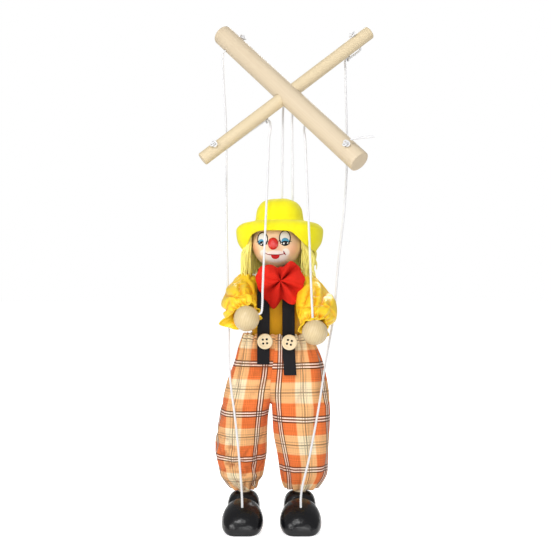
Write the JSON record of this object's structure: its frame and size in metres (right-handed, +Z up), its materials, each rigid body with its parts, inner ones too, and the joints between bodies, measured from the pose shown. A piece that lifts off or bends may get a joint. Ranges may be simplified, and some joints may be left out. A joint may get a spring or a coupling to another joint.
{
  "type": "clown marionette",
  "caption": "Dressed wooden clown marionette with ball head, felt hat, plaid trousers and painted shoes, hung by cords from a cross of round wooden bars.",
  "frame": {"origin": "where the axes of the two control bars cross, the place a hand holds", "axes": "+Z up; the figure hangs below the origin along -Z and faces -Y; +X is on the right as it is seen from the front"},
  "size_m": [0.1312, 0.104, 0.3804],
  "materials": {
    "bar_wood": "bare sanded dowel",
    "turned_wood": "thin clear varnish",
    "white_cord": "twisted cotton",
    "steel_wire": "drawn wire",
    "yellow_felt": "felt",
    "yellow_yarn": "combed yarn",
    "red_paint": "gloss paint",
    "red_cotton": "plain cotton",
    "yellow_satin": "satin",
    "black_ribbon": "satin ribbon",
    "orange_plaid": "woven plaid cotton",
    "black_paint": "semi-gloss paint"
  },
  "bodies": {
    "control": {"main_bar": "bar_wood", "cross_bar": "bar_wood", "left_hand_knot": "white_cord", "right_hand_knot": "white_cord", "left_leg_knot": "white_cord", "right_leg_knot": "white_cord", "right_hand_cord_tail": "white_cord", "left_hand_eye": "steel_wire", "right_hand_eye": "steel_wire", "right_leg_eye": "steel_wire", "left_hand_cord_run": "white_cord", "right_hand_cord_run": "white_cord", "right_leg_cord_run": "white_cord"},
    "torso": {"torso_block": "turned_wood", "neck_peg": "bar_wood", "shoulder_rod": "steel_wire", "hip_rod": "steel_wire", "shirt_body": "yellow_satin", "bow_tie": "red_cotton", "suspender_left": "black_ribbon", "suspender_right": "black_ribbon", "button_left": "turned_wood", "button_right": "turned_wood", "trousers_left": "orange_plaid", "trousers_right": "orange_plaid", "head_cord_left": "white_cord", "head_cord_right": "white_cord"},
    "head": {"head_ball": "turned_wood", "nose": "red_paint", "hat": "yellow_felt", "hair_left": "yellow_yarn", "hair_right": "yellow_yarn"},
    "arm_left": {"arm_left": "bar_wood", "hand_left": "turned_wood", "sleeve_left": "yellow_satin"},
    "arm_right": {"arm_right": "bar_wood", "hand_right": "turned_wood", "sleeve_right": "yellow_satin"},
    "leg_left": {"leg_left": "bar_wood", "shoe_left": "black_paint"},
    "leg_right": {"leg_right": "bar_wood", "shoe_right": "black_paint"},
    "left_hand_line": {"hand_cord_left": "white_cord"},
    "right_hand_line": {"hand_cord_right": "white_cord"},
    "left_leg_line": {"leg_cord_left": "white_cord"},
    "right_leg_line": {"leg_cord_right": "white_cord"}
  },
  "joints": [
    {"name": "swing", "type": "hinge", "parent": "control", "child": "torso", "pos_m": [0, -0.0014, -0.0045], "axis": [1, 0, 0], "range_deg": [-10, 10], "deforming": ["head_cord_left", "head_cord_right"]},
    {"name": "head_turn", "type": "hinge", "parent": "torso", "child": "head", "pos_m": [-0.0078, 0.007, -0.13], "axis": [0, 0, 1], "range_deg": [-25, 25]},
    {"name": "left_arm_lift", "type": "hinge", "parent": "torso", "child": "arm_left", "pos_m": [-0.0297, 0.0055, -0.1428], "axis": [-1, 0, 0], "range_deg": [0, 55], "deforming": ["sleeve_left", "hand_cord_left"]},
    {"name": "right_arm_lift", "type": "hinge", "parent": "torso", "child": "arm_right", "pos_m": [0.0127, 0.0055, -0.1428], "axis": [-1, 0, 0], "range_deg": [0, 55], "deforming": ["sleeve_right", "hand_cord_right"]},
    {"name": "left_leg_lift", "type": "hinge", "parent": "torso", "child": "leg_left", "pos_m": [-0.029, 0.007, -0.2151], "axis": [-1, 0, 0], "range_deg": [0, 60], "deforming": ["trousers_left", "leg_cord_left"]},
    {"name": "right_leg_lift", "type": "hinge", "parent": "torso", "child": "leg_right", "pos_m": [0.012, 0.007, -0.2151], "axis": [-1, 0, 0], "range_deg": [0, 60], "deforming": ["trousers_right", "leg_cord_right"]},
    {"name": "left_hand_line_swing", "type": "hinge", "parent": "control", "child": "left_hand_line", "pos_m": [-0.0154, 0.0028, -0.0184], "axis": [1, 0, 0], "range_deg": [-12, 12]},
    {"name": "right_hand_line_swing", "type": "hinge", "parent": "control", "child": "right_hand_line", "pos_m": [0.0148, -0.0018, -0.0205], "axis": [1, 0, 0], "range_deg": [-12, 12]},
    {"name": "left_leg_line_swing", "type": "hinge", "parent": "control", "child": "left_leg_line", "pos_m": [-0.048, 0.032, 0.0405], "axis": [1, 0, 0], "range_deg": [-9, 9]},
    {"name": "right_leg_line_swing", "type": "hinge", "parent": "control", "child": "right_leg_line", "pos_m": [0.0468, 0.0138, 0.0308], "axis": [1, 0, 0], "range_deg": [-9, 9]}
  ],
  "couplings": [
    {"joint": "left_hand_line_swing", "follows": "swing", "ratio": 1.097},
    {"joint": "right_hand_line_swing", "follows": "swing", "ratio": 1.11},
    {"joint": "left_leg_line_swing", "follows": "swing", "ratio": 0.87},
    {"joint": "right_leg_line_swing", "follows": "swing", "ratio": 0.894}
  ]
}
